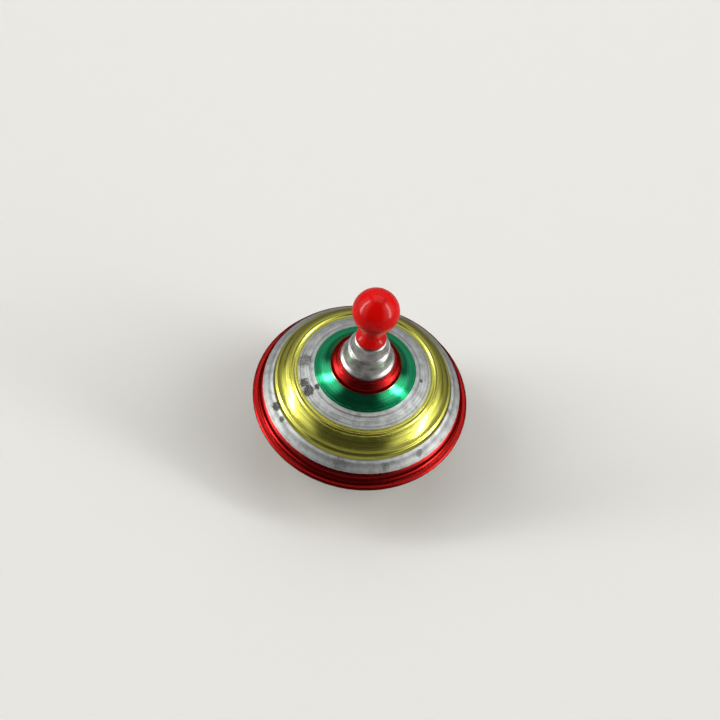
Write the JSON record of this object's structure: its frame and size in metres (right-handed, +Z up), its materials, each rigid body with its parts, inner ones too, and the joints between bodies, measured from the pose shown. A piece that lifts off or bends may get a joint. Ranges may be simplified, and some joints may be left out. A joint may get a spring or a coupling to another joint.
{
  "type": "humming top",
  "caption": "Pump-action humming top: a banded tinplate body on a steel tip, spun by a knob on a twisted rod that threads a clutched nut.",
  "frame": {"origin": "the point of the tip that the top spins on", "axes": "+Z up the spin axis towards the knob; +X through a reed"},
  "size_m": [0.12, 0.12, 0.133],
  "materials": {
    "lithographed_tinplate": "transparent colour lacquer over bright tinplate, worn",
    "bowl_tinplate": "transparent red lacquer over bright tinplate",
    "collar_metal": "dull bright tinplate",
    "clutch_steel": "plain pressed steel",
    "clutch_fibre": "red vulcanised fibre",
    "tube_steel": "seamed tinplate tube",
    "tip_steel": "hard steel, polished by use",
    "reed_brass": "rolled brass",
    "rivet_metal": "bright",
    "washer_leather": "oiled leather",
    "bush_brass": "turned",
    "rod_steel": "twisted bright steel strip",
    "knob_paint": "glossy red enamel on turned wood"
  },
  "bodies": {
    "spinning_body": {"upper_shell": "lithographed_tinplate", "lower_shell": "bowl_tinplate", "collar_base": "collar_metal", "collar_cone": "collar_metal", "clutch_cup": "clutch_steel", "clutch_ring": "clutch_fibre", "centre_tube": "tube_steel", "hub_plate": "clutch_steel", "tip_cone": "collar_metal", "tip_pin": "tip_steel", "reed_plate": "reed_brass", "reeds": "reed_brass", "reed_rivets": "rivet_metal", "plate_rivets": "rivet_metal"},
    "clutch_washer": {"friction_washer": "washer_leather"},
    "nut": {"drive_nut": "clutch_steel"},
    "bush": {"guide_bush": "bush_brass"},
    "pump_rod": {"spiral_rod": "rod_steel", "stop_washer": "clutch_steel", "knob": "knob_paint"}
  },
  "joints": [
    {"name": "clutch_lift", "type": "slide", "parent": "spinning_body", "child": "clutch_washer", "axis": [0, 0, 1], "range_m": [0, 0.0008]},
    {"name": "freewheel", "type": "hinge", "parent": "clutch_washer", "child": "nut", "pos_m": [0, 0, 0.084], "axis": [0, 0, 1], "continuous": true},
    {"name": "pump_stroke", "type": "slide", "parent": "nut", "child": "bush", "axis": [0, 0, 1], "range_m": [0, 0.055]},
    {"name": "rod_turn", "type": "hinge", "parent": "bush", "child": "pump_rod", "pos_m": [0, 0, 0.1], "axis": [0, 0, 1], "range_deg": [-1, 497]}
  ],
  "couplings": [
    {"joint": "rod_turn", "follows": "pump_stroke", "rad_per_m": 157.08}
  ]
}
